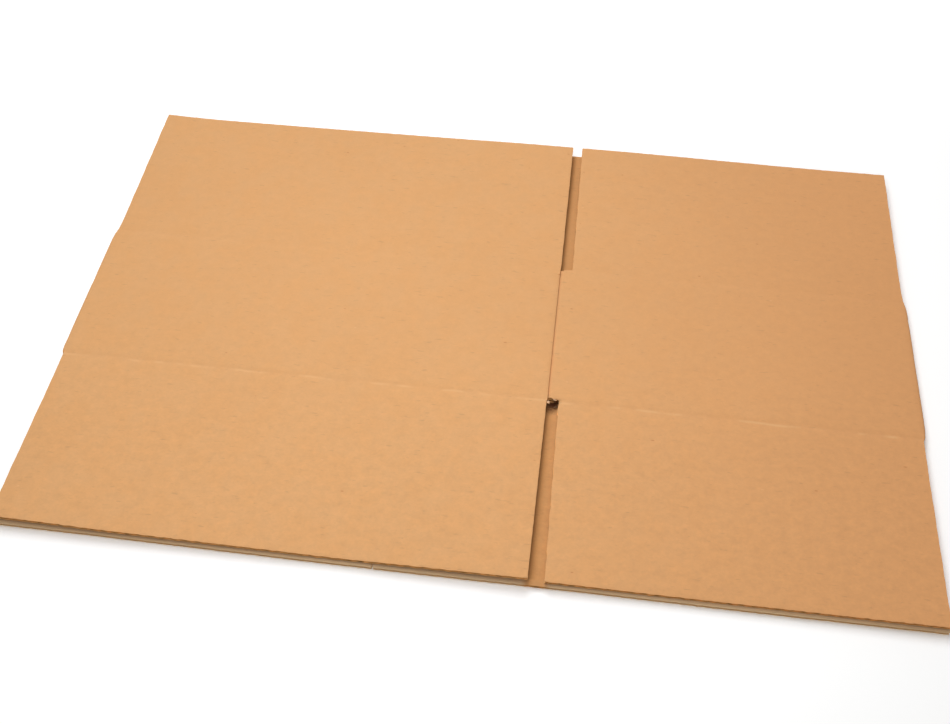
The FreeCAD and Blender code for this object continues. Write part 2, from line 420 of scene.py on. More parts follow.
@dataclass(frozen=True)
class MarkPlaces:
    """Where the painted light, shade and shadow marks stand on the carton, in metres, and the slot end
    shade's own sizes in millimetres.

    A pair gives where a mask starts and where it is full.
    """

    edge_light_reach: tuple[float, float] = (0.1588, 0.1604)
    lower_top: tuple[float, float] = (0.0031, 0.0035)
    slot_middle: float = 0.0437
    slot_half: tuple[float, float] = (0.0035, 0.009)
    strip_start: tuple[float, float] = (0.035, 0.038)
    strip_end: tuple[float, float] = (0.0408, 0.0452)
    past_crease: tuple[float, float] = (0.050, 0.053)
    highlight_line: float = 0.4 * MM - CARTON.upper_front_crease
    highlight_half: tuple[float, float] = (0.0003, 0.0011)
    under_wall: tuple[float, float] = (0.0071, 0.0077)
    slot_end_shade_place: tuple[float, float, float] = (43.6, -49.5, 4.4)
    slot_end_shade_width: float = 5.0
    slot_end_shade_height: float = 4.6


MARKS = MarkPlaces()


class PaperEffects:
    """Shader groups that every paper finish of the carton shares."""

    def __init__(self) -> None:
        """Build the groups."""
        self.fibres_and_side_shade = self._build_fibres_and_side_shade()
        self.flecks = self._build_flecks()
        self.washboard = self._build_washboard()
        self.marks = self._build_marks()

    @staticmethod
    def _start(name: str, inputs: dict[str, float], outputs: tuple[str, ...]) -> tuple:
        """Make a group with number inputs and outputs.

        Args:
            name: Name of the group.
            inputs: Names and default values of the inputs.
            outputs: Names of the outputs.

        Returns:
            The tree, its sketch, its input node and its output node.
        """
        tree = bpy.data.node_groups.new(name, "ShaderNodeTree")
        for title, value in inputs.items():
            socket = tree.interface.new_socket(name=title, in_out="INPUT", socket_type="NodeSocketFloat")
            socket.default_value = value
        for title in outputs:
            tree.interface.new_socket(name=title, in_out="OUTPUT", socket_type="NodeSocketFloat")
        sketch = NodeSketch(tree)
        return tree, sketch, sketch.add("NodeGroupInput"), sketch.add("NodeGroupOutput")

    def _build_fibres_and_side_shade(self) -> bpy.types.NodeTree:
        """Draw blotches of thicker and thinner pulp, with fibre streaks that lie along the paper's run, and a
        painted shade mask that grows towards the right side.

        Returns:
            The group.
        """
        tree, sketch, entry, leave = self._start(
            "pulp_fibres_and_side_shade", {"Blotches": 1.0, "Streaks": 1.0}, ("Tone", "Height", "Hue", "Side"))
        place = sketch.add("ShaderNodeTexCoord").outputs["Object"]
        parts = sketch.add("ShaderNodeSeparateXYZ", {"Vector": place}).outputs
        wide = sketch.noise(place, 9.0, 3.0)
        cloud = sketch.noise(sketch.stretch(place, (150.0, 210.0, 150.0)), 1.0, 3.0, 0.6)
        fine = sketch.noise(sketch.stretch(place, (520.0, 700.0, 520.0)), 1.0, 2.0, 0.6)
        streak = sketch.noise(sketch.stretch(place, (150.0, 700.0, 150.0), (3.0, 1.0, 0.0)), 1.0, 2.0, 0.5)
        near = sketch.curve(sketch.math("MULTIPLY", parts["Y"], -1.0), -0.02, 0.12)
        stronger = sketch.math("MULTIPLY_ADD", near, 0.7, 0.7)
        blotch = sketch.math("MULTIPLY_ADD", sketch.math("SUBTRACT", wide, 0.5), 0.45,
                             sketch.math("MULTIPLY", sketch.math("SUBTRACT", cloud, 0.5), stronger))
        blotch = sketch.math("MULTIPLY", blotch, entry.outputs["Blotches"])
        dash = sketch.math("MULTIPLY", sketch.curve(streak, 0.63, 0.76), -0.7)
        finer = sketch.math("MULTIPLY_ADD", near, 0.4, 0.45)
        grain = sketch.math("MULTIPLY_ADD", sketch.math("SUBTRACT", fine, 0.5), finer, dash)
        grain = sketch.math("MULTIPLY", grain, entry.outputs["Streaks"])
        hue = sketch.noise(sketch.stretch(place, (75.0, 75.0, 75.0), (9.0, 4.0, 0.0)), 1.0, 2.0)
        sketch.feed(leave.inputs["Hue"], sketch.curve(hue, 0.3, 0.7))
        # Painted shade: a mask that grows towards the right, where the colour is deepened because the light
        # there is weaker.
        sketch.feed(leave.inputs["Side"], sketch.curve(parts["X"], -0.06, 0.34))
        sketch.feed(leave.inputs["Tone"], sketch.math("ADD", blotch, grain))
        sketch.feed(leave.inputs["Height"], sketch.math("MULTIPLY_ADD", grain, 0.7, sketch.math(
            "MULTIPLY", blotch, 0.3)))
        return tree

    def _build_flecks(self) -> bpy.types.NodeTree:
        """Scatter dark specks of bark and a few pale ones.

        Returns:
            The group.
        """
        tree, sketch, entry, leave = self._start("pulp_flecks", {"Amount": 1.0}, ("Dark", "Pale"))
        place = sketch.add("ShaderNodeTexCoord").outputs["Object"]
        kinds = (("Dark", (75.0, 190.0, 75.0), (0.3, 7.1, 0.0), 0.07, 0.17),
                 ("Pale", (95.0, 170.0, 95.0), (5.2, 1.7, 0.0), 0.08, 0.06))
        for title, scale, shift, size, share in kinds:
            cells = sketch.add("ShaderNodeTexVoronoi", {
                "Vector": sketch.stretch(place, scale, shift), "Scale": 1.0, "Randomness": 1.0})
            parts = sketch.add("ShaderNodeSeparateColor", {"Color": cells.outputs["Color"]})
            chosen = sketch.math("LESS_THAN", parts.outputs["Red"], sketch.math(
                "MULTIPLY", entry.outputs["Amount"], share))
            smaller = sketch.math("POWER", parts.outputs["Green"], 2.0)
            reach = sketch.math("MULTIPLY_ADD", smaller, size, 0.035)
            spot = sketch.math("DIVIDE", cells.outputs["Distance"], reach)
            mask = sketch.inverse(sketch.curve(spot, 0.5, 1.1))
            sketch.feed(leave.inputs[title], sketch.math("MULTIPLY", mask, chosen))
        return tree

    def _build_washboard(self) -> bpy.types.NodeTree:
        """Draw the faint ridges that the flutes press through a facing.

        Returns:
            The group.
        """
        tree, sketch, entry, leave = self._start("flute_washboard", {"Pitch": 0.0065}, ("Height",))
        place = sketch.add("ShaderNodeTexCoord").outputs["Object"]
        parts = sketch.add("ShaderNodeSeparateXYZ", {"Vector": place})
        sway = sketch.math("MULTIPLY", sketch.math("SUBTRACT", sketch.noise(place, 14.0, 2.0), 0.5), 0.9)
        turns = sketch.math("ADD", sketch.math("DIVIDE", parts.outputs["X"], entry.outputs["Pitch"]), sway)
        wave = sketch.math("SINE", sketch.math("MULTIPLY", turns, 2 * math.pi))
        strength = sketch.curve(sketch.noise(sketch.stretch(place, (25.0, 9.0, 25.0)), 1.0, 2.0), 0.3, 0.75)
        sketch.feed(leave.inputs["Height"], sketch.math("MULTIPLY", wave, strength))
        return tree

    def _build_marks(self) -> bpy.types.NodeTree:
        """Mask the painted light and shade: the lower layer's paler edge strip, the slots' shadow strip, the
        deep shade at the front slot's inner end and the highlight along the front crease.

        Returns:
            The group.
        """
        tree, sketch, entry, leave = self._start(
            "carton_marks", {"Spread": 1.0}, ("Edge", "Slot end painted shade", "Slot painted shadow", "Crease painted highlight"))
        place = sketch.add("ShaderNodeTexCoord").outputs["Object"]
        parts = sketch.add("ShaderNodeSeparateXYZ", {"Vector": place}).outputs
        depth = sketch.math("ABSOLUTE", parts["Y"])
        far = sketch.curve(depth, *MARKS.edge_light_reach)
        low = sketch.inverse(sketch.curve(parts["Z"], *MARKS.lower_top))
        beside = sketch.math("ABSOLUTE", sketch.math("SUBTRACT", parts["X"], MARKS.slot_middle))
        aside = sketch.curve(beside, *MARKS.slot_half)
        # Painted light: the lower layer's edge strip, away from the slot, is made paler as if lit by light
        # off the floor.
        sketch.feed(leave.inputs["Edge"], sketch.math("MULTIPLY", sketch.math("MULTIPLY", far, low), aside))
        # Painted shade: a near-black blot where the gap under the panels at the front slot's inner end lies
        # in shade.
        sketch.feed(leave.inputs["Slot end painted shade"], self._slot_end_shade(sketch, place, entry.outputs["Spread"]))
        # Painted shadow: a darker golden-brown strip on the slot floor beside the wide flap's edge, where
        # that edge's shadow falls.
        strip = sketch.math("SUBTRACT", sketch.curve(parts["X"], *MARKS.strip_start),
                            sketch.curve(parts["X"], *MARKS.strip_end))
        strip = sketch.math("MULTIPLY", strip, sketch.inverse(far))
        open_floor = sketch.math("MULTIPLY", low, sketch.curve(depth, *MARKS.past_crease))
        sketch.feed(leave.inputs["Slot painted shadow"], sketch.math("MULTIPLY", strip, open_floor))
        # Painted highlight: a broken pale line along the front crease.
        sway = sketch.math("MULTIPLY_ADD", sketch.noise(place, 45.0, 2.0), 0.0026, -0.0013)
        line = sketch.math("ADD", parts["Y"], sketch.math("ADD", sway, MARKS.highlight_line))
        thin = sketch.inverse(sketch.curve(sketch.math("ABSOLUTE", line), *MARKS.highlight_half))
        pieces = sketch.noise(sketch.stretch(place, (70.0, 5.0, 5.0), (2.0, 6.0, 0.0)), 1.0, 2.0)
        sketch.feed(leave.inputs["Crease painted highlight"], sketch.math("MULTIPLY", thin, sketch.curve(pieces, 0.42, 0.62)))
        return tree

    @staticmethod
    def _slot_end_shade(sketch: NodeSketch, place: bpy.types.NodeSocket, wander: object) -> bpy.types.NodeSocket:
        """Mask the painted shade at the front slot's inner end, which is a ragged dark blot in the gap.

        Args:
            sketch: The group's sketch.
            place: The place on the object, in metres.
            wander: How ragged the blot's edge is.

        Returns:
            The mask.
        """
        parts = sketch.add("ShaderNodeSeparateXYZ", {"Vector": place}).outputs
        across = sketch.math("MULTIPLY_ADD", parts["X"], 1 / MM, -MARKS.slot_end_shade_place[0])
        slanted = sketch.math("MULTIPLY_ADD", across, -0.3, -MARKS.slot_end_shade_place[1])
        along = sketch.math("MULTIPLY_ADD", parts["Y"], 1 / MM, slanted)
        height = sketch.math("MULTIPLY_ADD", parts["Z"], 1 / MM, -MARKS.slot_end_shade_place[2])
        ahead = sketch.math("MULTIPLY_ADD", along, -0.125, 0.4)
        fading = sketch.math("MAXIMUM", sketch.math("MULTIPLY", along, 0.6), ahead)
        blot = sketch.add("ShaderNodeCombineXYZ", {
            0: sketch.math("DIVIDE", across, MARKS.slot_end_shade_width), 1: fading,
            2: sketch.math("DIVIDE", height, MARKS.slot_end_shade_height)})
        reach = sketch.add("ShaderNodeVectorMath", {0: blot.outputs[0]}, operation="LENGTH").outputs["Value"]
        uneven = sketch.math("SUBTRACT", sketch.noise(place, 900.0, 2.0), 0.5)
        ragged = sketch.math("MULTIPLY_ADD", sketch.math("MULTIPLY", uneven, wander), 0.5, reach)
        under = sketch.inverse(sketch.curve(parts["Z"], *MARKS.under_wall))
        return sketch.math("MULTIPLY", sketch.inverse(sketch.curve(ragged, 0.5, 1.5)), under)


WARM_PULP = (1.006, 0.985, 0.96)
COOL_PULP = (0.996, 1.002, 1.02)
DARK_FLECK = (0.68, 0.42, 0.24)
PALE_FLECK = (1.15, 1.25, 1.5)
# Painted highlight along the front crease.
CREASE_HIGHLIGHT_TINT = (1.08, 1.14, 1.22)
# Painted shadow in the slots.
SLOT_SHADOW_TINT = (0.62, 0.52, 0.36)
# Painted shade at the front slot's inner end.
SLOT_END_SHADE_TINT = (0.10, 0.04, 0.0)


@dataclass(frozen=True)
class PaperFinish:
    """One paper surface of the carton. Tints scale its colour's channels."""

    name: str
    color: tuple[float, float, float]
    shade: float = 0.16
    blotches: float = 1.0
    streaks: float = 1.0
    flecks: float = 1.0
    roughness: float = 0.82
    relief: float = 0.12
    ridges: float = 0.012
    # Strengths and tints of painted shade and light follow: shade bands at the flute pitch, the crease
    # highlight, the slots' shadow, the shade towards the right side and the lower edge's light.
    flute_shade_bands: float = 0.0
    crease_highlight: float = 0.0
    slot_shadow: float = 0.0
    side_shade_tint: tuple[float, float, float] = (1.0, 0.915, 0.885)
    edge_light_tint: tuple[float, float, float] = (1.0, 1.0, 1.0)

    def make(self, effects: PaperEffects) -> bpy.types.Material:
        """Build the material.

        Args:
            effects: The shared shader groups.

        Returns:
            The new material.
        """
        material = bpy.data.materials.new(self.name)
        material.use_nodes = True
        sketch = NodeSketch(material.node_tree)
        shader = material.node_tree.nodes["Principled BSDF"]
        fibres_and_side_shade = sketch.add("ShaderNodeGroup", {"Blotches": self.blotches, "Streaks": self.streaks},
                            node_tree=effects.fibres_and_side_shade).outputs
        flecks = sketch.add("ShaderNodeGroup", {"Amount": self.flecks}, node_tree=effects.flecks).outputs
        ridge = sketch.add("ShaderNodeGroup", {"Pitch": BOARD.flute_pitch},
                           node_tree=effects.washboard).outputs["Height"]
        marks = sketch.add("ShaderNodeGroup", node_tree=effects.marks).outputs
        # Painted shade: bands at the flute pitch, darker where the open flutes lie in shade.
        flute_shaded = sketch.math("MULTIPLY_ADD", ridge, self.flute_shade_bands, 1.0)
        level = sketch.math("MULTIPLY_ADD", fibres_and_side_shade["Tone"], self.shade, flute_shaded)
        tinted = self._blend(sketch, fibres_and_side_shade["Hue"], self._tint(WARM_PULP), self._tint(COOL_PULP))
        # Painted shade: the colour deepens towards the right side.
        sided = self._blend(sketch, fibres_and_side_shade["Side"], tinted, self._tint(self.side_shade_tint))
        color = sketch.add("ShaderNodeVectorMath", {0: sided, "Scale": level}, operation="SCALE").outputs[0]
        # Flecks, then painted light and shade: the lower layer's paler edge, the crease highlight, the slots'
        # shadow strip and the slot end's deep shade.
        layers = ((flecks["Dark"], 0.5, DARK_FLECK), (flecks["Pale"], 0.35, PALE_FLECK),
                  (marks["Edge"], 1.0, self.edge_light_tint), (marks["Crease painted highlight"], self.crease_highlight, CREASE_HIGHLIGHT_TINT),
                  (marks["Slot painted shadow"], self.slot_shadow, SLOT_SHADOW_TINT), (marks["Slot end painted shade"], 1.0, SLOT_END_SHADE_TINT))
        for mask, strength, tint in layers:
            share = sketch.math("MULTIPLY", mask, strength)
            color = self._blend(sketch, share, color, self._tint(tint))
        sketch.feed(shader.inputs["Base Color"], color)
        rough = sketch.math("MULTIPLY_ADD", fibres_and_side_shade["Tone"], 0.12, self.roughness, clamp=True)
        sketch.feed(shader.inputs["Roughness"], rough)
        shader.inputs["Specular IOR Level"].default_value = 0.28
        grain = sketch.add("ShaderNodeBump", {
            "Strength": self.relief, "Distance": 0.4 * MM, "Height": fibres_and_side_shade["Height"]})
        ridges = sketch.add("ShaderNodeBump", {
            "Strength": 1.0, "Distance": self.ridges * MM, "Height": ridge,
            "Normal": grain.outputs["Normal"]})
        sketch.feed(shader.inputs["Normal"], ridges.outputs["Normal"])
        return material

    def _tint(self, tint: tuple[float, float, float]) -> tuple[float, ...]:
        """Give the finish's colour with each channel scaled."""
        return (*(min(1.0, part * scale) for part, scale in zip(self.color, tint)), 1.0)

    @staticmethod
    def _blend(sketch: NodeSketch, share: object, first: object, second: object) -> bpy.types.NodeSocket:
        """Mix two colours by a share."""
        return sketch.add("ShaderNodeMix", {0: share, 6: first, 7: second}, data_type="RGBA").outputs[2]


class BoardFinishes:
    """The finishes of the kraft board."""

    def __init__(self) -> None:
        """Build the groups and the materials."""
        effects = PaperEffects()
        # The outer facing takes the painted highlight along the front crease, the inner facing takes the
        # slots' painted shadow, and the edge tints of the inner, flute and cut finishes paint the lower
        # layer's edge paler as if lit from the floor.
        outer = PaperFinish("kraft_outer_facing", (0.762, 0.403, 0.169), crease_highlight=0.75)
        inner = PaperFinish("kraft_inner_facing", (0.64, 0.325, 0.122), blotches=1.4, streaks=1.3,
                            ridges=0.02, slot_shadow=0.42, edge_light_tint=(1.2, 1.7, 2.7))
        flute = PaperFinish("fluted_paper", (0.76, 0.38, 0.115), flecks=0.5, ridges=0.0, flute_shade_bands=0.3,
                            edge_light_tint=(1.1, 1.45, 2.4))
        cut = PaperFinish("cut_paper_edge", (0.86, 0.47, 0.16), shade=0.6, flecks=1.5, ridges=0.0, flute_shade_bands=0.3,
                          relief=0.3, edge_light_tint=(1.05, 1.35, 2.2))
        torn = PaperFinish("torn_paper", (0.66, 0.44, 0.27), shade=0.5, ridges=0.0, relief=0.3)
        self.materials = [finish.make(effects) for finish in (outer, inner, flute, cut, torn)]


class FlutedPaper:
    """Geometry Nodes tree that makes a flat run of fluted paper."""

    def __init__(self, material: bpy.types.Material) -> None:
        """Build the tree for one material.

        Args:
            material: The fluted paper's finish.
        """
        self.material = material
        self.tree = bpy.data.node_groups.new("fluted_paper_run", "GeometryNodeTree")
        self.sockets: dict[str, str] = {}
        self._build()

    def _input(self, name: str, kind: str) -> None:
        """Add a named input and keep its identifier."""
        socket = self.tree.interface.new_socket(name=name, in_out="INPUT", socket_type=kind)
        self.sockets[name] = socket.identifier

    def _build(self) -> None:
        """Draw the tree: a waved grid with an uneven lean, thickened and closed."""
        face = self.tree.interface
        face.new_socket(name="Geometry", in_out="INPUT", socket_type="NodeSocketGeometry")
        for name in ("Length", "Depth", "Pitch", "Rise", "Paper", "Uneven"):
            self._input(name, "NodeSocketFloat")
        for name in ("Columns", "Rows", "Seed"):
            self._input(name, "NodeSocketInt")
        self._input("Material", "NodeSocketMaterial")
        face.new_socket(name="Geometry", in_out="OUTPUT", socket_type="NodeSocketGeometry")
        sketch = NodeSketch(self.tree)
        entry = sketch.add("NodeGroupInput").outputs
        grid = sketch.add("GeometryNodeMeshGrid", {
            "Size X": entry["Length"], "Size Y": entry["Depth"], "Vertices X": entry["Columns"],
            "Vertices Y": entry["Rows"]})
        place = sketch.add("GeometryNodeInputPosition").outputs[0]
        parts = sketch.add("ShaderNodeSeparateXYZ", {0: place})
        shift = sketch.add("ShaderNodeCombineXYZ", {"Z": sketch.math("MULTIPLY", entry["Seed"], 3.7)})
        moved = sketch.add("ShaderNodeVectorMath", {0: place, 1: shift.outputs[0]}, operation="ADD")
        lean = sketch.noise(sketch.stretch(moved.outputs[0], (190.0, 40.0, 1.0)), 1.0, 1.0)
        turns = sketch.math("DIVIDE", parts.outputs["X"], entry["Pitch"])
        turns = sketch.math("MULTIPLY_ADD", sketch.math("SUBTRACT", lean, 0.5), entry["Uneven"], turns)
        wave = sketch.math("SINE", sketch.math("MULTIPLY", turns, 2 * math.pi))
        rise = sketch.math("MULTIPLY", wave, sketch.math("MULTIPLY", entry["Rise"], 0.5))
        offset = sketch.add("ShaderNodeCombineXYZ", {"Z": rise})
        waved = sketch.add("GeometryNodeSetPosition", {
            "Geometry": grid.outputs["Mesh"], "Offset": offset.outputs[0]}).outputs[0]
        upper = sketch.add("GeometryNodeExtrudeMesh", {
            "Mesh": waved, "Offset Scale": entry["Paper"], "Individual": False})
        under = sketch.add("GeometryNodeFlipFaces", {"Mesh": waved})
        joined = sketch.add("GeometryNodeJoinGeometry")
        sketch.feed(joined.inputs[0], upper.outputs["Mesh"])
        sketch.feed(joined.inputs[0], under.outputs["Mesh"])
        closed = sketch.add("GeometryNodeMergeByDistance", {"Geometry": joined.outputs[0], "Distance": 1e-6})
        real = sketch.add("GeometryNodeRealizeInstances", {"Geometry": closed.outputs[0]})
        dressed = sketch.add("GeometryNodeSetMaterial", {
            "Geometry": real.outputs[0], "Material": entry["Material"]})
        leave = sketch.add("NodeGroupOutput")
        sketch.feed(leave.inputs[0], dressed.outputs[0])

    def make(self, name: str, length: float, depth: float, rows: int, seed: int) -> bpy.types.Object:
        """Bake one flat run of fluted paper, centred on the origin.

        Args:
            name: Name of the piece.
            length: Length across the flutes, in metres.
            depth: Length along the flutes, in metres.
            rows: Rows of vertices along the flutes.
            seed: Seed of the uneven lean.

        Returns:
            The object with a plain mesh.
        """
        holder = bpy.data.objects.new(name + "_run", bpy.data.meshes.new(name + "_run"))
        bpy.context.scene.collection.objects.link(holder)
        modifier = holder.modifiers.new("run", "NODES")
        modifier.node_group = self.tree
        rise = BOARD.thickness - 2 * BOARD.facing - BOARD.flute_paper
        values = {
            "Length": length, "Depth": depth, "Pitch": BOARD.flute_pitch, "Rise": rise,
            "Paper": BOARD.flute_paper, "Uneven": 0.16, "Columns": round(length / BOARD.flute_pitch * 12) + 1,
            "Rows": rows, "Seed": seed, "Material": self.material}
        for title, value in values.items():
            modifier[self.sockets[title]] = value
        bpy.context.view_layer.update()
        evaluated = holder.evaluated_get(bpy.context.evaluated_depsgraph_get())
        mesh = bpy.data.meshes.new_from_object(evaluated)
        holder.modifiers.remove(modifier)
        bpy.data.objects.remove(holder)
        mesh.name = name
        mesh.shade_smooth()
        mesh.set_sharp_from_angle(angle=math.radians(50))
        piece = bpy.data.objects.new(name, mesh)
        bpy.context.scene.collection.objects.link(piece)
        return piece


@dataclass(frozen=True)
class UpperFlap:
    """One flap of the upper layer, from a strip inside its panel to its free edge."""

    node: str
    narrow: bool
    rear: bool
    fold_strip: float
    fold_side: float
    seam_strip: float
    seam_crease: float
    seam_free: float
    notch: float
    seed: int

    @property
    def side(self) -> float:
        """1 at the rear and -1 at the front."""
        return 1.0 if self.rear else -1.0

    @property
    def crease(self) -> float:
        """Place of the flap's crease along Y."""
        return CARTON.upper_rear_crease if self.rear else CARTON.upper_front_crease

    @property
    def edge(self) -> float:
        """Place of the flap's free edge along Y."""
        return CARTON.upper_rear_edge if self.rear else CARTON.upper_front_edge

    def _squeeze(self, y: np.ndarray) -> np.ndarray:
        """How much thinner the board is beside its cut edge."""
        return BOARD.edge_squeeze * np.exp(-np.abs(self.edge - y) / BOARD.squeeze_reach)

    def _droop(self, y: np.ndarray) -> np.ndarray:
        """How far the outer facing is pressed down beside its cut edge."""
        return BOARD.edge_droop * np.exp(-np.abs(self.edge - y) / BOARD.droop_reach)

    def _borders(self, y: np.ndarray) -> tuple[np.ndarray, np.ndarray]:
        """Give the places along X of the folded side and of the slot side at each row.

        Args:
            y: Places of the rows.

        Returns:
            The folded side's places and the slot side's places.
        """
        past = (y - self.crease) * self.side
        cut = ease((past + self.notch) / (0.9 * MM))
        run = abs(self.edge - self.crease)
        reach = np.clip(past / run, 0.0, 1.0)
        flare = 0.7 * np.exp(-np.clip(past, 0.0, None) / (5.0 * MM))
        away = ease((past + 0.2 * MM) / (0.9 * MM)) * (1.0 - flare)
        fold = self.fold_strip + (self.fold_side - self.fold_strip) * away
        slot_side = self.seam_crease + (self.seam_free - self.seam_crease) * reach
        uneven = 0.26 * MM if self.narrow else 0.1 * MM
        slot_side = slot_side + ripple(y, 17 * MM, uneven, self.seed)
        slot_side = slot_side + ripple(y, 4 * MM, 0.1 * MM, self.seed + 3)
        slot = self.seam_strip + (slot_side - self.seam_strip) * cut
        return fold + cut * ripple(y, 31 * MM, 0.14 * MM, self.seed + 7), slot

    def _rows(self) -> np.ndarray:
        """List the rows from inside the panel to the free edge.

        Returns:
            Their places along Y, in metres.
        """
        run = abs(self.edge - self.crease) / MM
        offsets = spread((-5.0, 1.0), (-2.5, 0.8), (2.5, 0.35), (10.0, 0.9), (run - 4.0, 2.4),
                         (run - 1.2, 0.7), (run, 0.3))
        return self.crease + self.side * offsets * MM

    def _shares(self, width: float) -> np.ndarray:
        """Shares of the width at which the columns stand, closer at both sides."""
        span = width / MM
        return spread((0.0, 1.0), (1.2, 0.3), (4.0, 0.7), (span - 4.0, 1.9), (span - 1.2, 0.7),
                      (span, 0.3)) / span

    def _face(self) -> tuple[np.ndarray, np.ndarray]:
        """Shape the outer face.

        Returns:
            The places as rows by columns by three, and the board's thickness at each.
        """
        rows = self._rows()
        fold, slot = self._borders(rows)
        share = self._shares(abs(self.seam_crease - self.fold_side))
        x = fold[:, None] + (slot - fold)[:, None] * share[None, :]
        y = np.repeat(rows[:, None], len(share), 1)
        jag = ripple(x, 9 * MM, 0.16 * MM, self.seed + 11) + ripple(x, 2.3 * MM, 0.07 * MM, self.seed + 13)
        near = np.exp(-np.abs(self.edge - y) / (2.0 * MM))
        y = y - self.side * near * (0.22 * MM + jag)
        y = y + UpperFace.retreat(x, y)
        z = UpperFace.height(x, y, self.narrow)
        past = (y - self.crease) * self.side
        slot_gap = np.abs(slot[:, None] - x)
        droop = self._droop(y) + 0.2 * MM * np.exp(-slot_gap / (0.6 * MM)) * (past > 0.5 * MM)
        return np.stack([x, y, z - droop], -1), UpperFace.thickness(y)

    def make_facings(self, materials: list[bpy.types.Material]) -> bpy.types.Object:
        """Build the outer and inner facings as one piece that bends at the crease.

        Args:
            materials: The board's materials.

        Returns:
            The finished piece.
        """
        face, thick = self._face()
        down = np.array([0.0, 0.0, -1.0])
        squeeze = self._squeeze(face[..., 1])
        shell = Shell()
        shell.add_slab(face, face + down * BOARD.facing, Finish.OUTER, Finish.CUT)
        inner = face + down * (thick - BOARD.facing - squeeze)[..., None]
        shell.add_slab(inner, inner + down * BOARD.facing, Finish.CUT, Finish.INNER)
        piece = shell.make(self.node + "_facings", materials)
        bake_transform(piece)
        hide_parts(self.node)
        return piece

    def make_flutes(self, paper: FlutedPaper) -> bpy.types.Object:
        """Build the fluted paper between the facings.

        Args:
            paper: The tree that makes fluted paper.

        Returns:
            The finished piece.
        """
        start = self.crease + self.side * 4.0 * MM
        end = self.edge - self.side * 0.45 * MM
        width = abs(self.seam_crease - self.fold_side) - 0.5 * MM
        piece = paper.make(self.node + "_flutes", width, abs(end - start), 26, self.seed)
        flat = read_places(piece)
        y = (start + end) / 2 + flat[:, 1]
        fold, slot = self._borders(y)
        left = np.minimum(fold, slot) + 0.25 * MM
        right = np.maximum(fold, slot) - 0.25 * MM
        x = left + (right - left) * (flat[:, 0] / width + 0.5)
        thick = UpperFace.thickness(y)
        squeeze = self._squeeze(y)
        scale = (thick - squeeze - 2 * BOARD.facing) / (BOARD.thickness - 2 * BOARD.facing)
        middle = UpperFace.height(x, y, self.narrow) - (thick - squeeze) / 2
        z = middle - self._droop(y) + (flat[:, 2] - BOARD.flute_paper / 2) * scale
        y = y + UpperFace.retreat(x, y)
        write_places(piece, x, y, z)
        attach(piece, self.node)
        return piece


NARROW_SIDE = CARTON.flap_side - 0.8 * MM
UPPER_FLAPS = (
    UpperFlap(node="front_wide_flap", narrow=False, rear=False, fold_strip=CARTON.left_shoulder,
              fold_side=-CARTON.flap_side, seam_strip=CARTON.seam, seam_crease=39.7 * MM,
              seam_free=39.2 * MM, notch=0.2 * MM, seed=21),
    UpperFlap(node="rear_wide_flap", narrow=False, rear=True, fold_strip=CARTON.left_shoulder,
              fold_side=-CARTON.flap_side, seam_strip=CARTON.seam, seam_crease=40.3 * MM,
              seam_free=40.3 * MM, notch=0.2 * MM, seed=37),
    UpperFlap(node="front_narrow_flap", narrow=True, rear=False, fold_strip=CARTON.right_shoulder,
              fold_side=NARROW_SIDE, seam_strip=CARTON.bend_end, seam_crease=47.0 * MM,
              seam_free=48.5 * MM, notch=1.7 * MM, seed=53),
    UpperFlap(node="rear_narrow_flap", narrow=True, rear=True, fold_strip=CARTON.right_shoulder,
              fold_side=NARROW_SIDE, seam_strip=CARTON.bend_end, seam_crease=48.1 * MM,
              seam_free=47.0 * MM, notch=0.4 * MM, seed=71),
)


@dataclass(frozen=True)
class TornBit:
    """A curled bit of torn facing, in millimetres and radians."""

    x: float
    y: float
    z: float
    length: float
    width: float
    turn: float
    curl: float
    thickness: float = 0.3

    def sides(self) -> tuple[np.ndarray, np.ndarray]:
        """Shape the bit as a curled sheet with a ragged outline.

        Returns:
            The places of its upper and lower sides, in metres.
        """
        across, along = np.meshgrid(np.linspace(-1.0, 1.0, 9), np.linspace(-1.0, 1.0, 7))
        ragged = 1.0 + 0.22 * np.sin(along * 5.3 + self.x) - 0.3 * along ** 2
        side = across * self.length / 2 * ragged
        deep = along * self.width / 2 * (1.0 + 0.18 * np.cos(across * 4.1 + self.y))
        rise = self.curl * (across ** 2 - 0.3) - 0.35 * along
        cosine = math.cos(self.turn)
        sine = math.sin(self.turn)
        x = self.x + side * cosine - deep * sine
        y = self.y + side * sine + deep * cosine
        top = np.stack([x, y, self.z + rise], -1) * MM
        return top, top - np.array([0.0, 0.0, self.thickness * MM])


TORN_BITS = (
    TornBit(40.7, -50.9, 7.9, length=1.7, width=2.1, turn=0.5, curl=0.6),
    TornBit(44.5, -48.9, 7.9, length=2.3, width=1.0, turn=-0.35, curl=0.5),
    TornBit(45.4, -51.4, 4.0, length=1.8, width=1.2, turn=0.2, curl=-0.3),
)


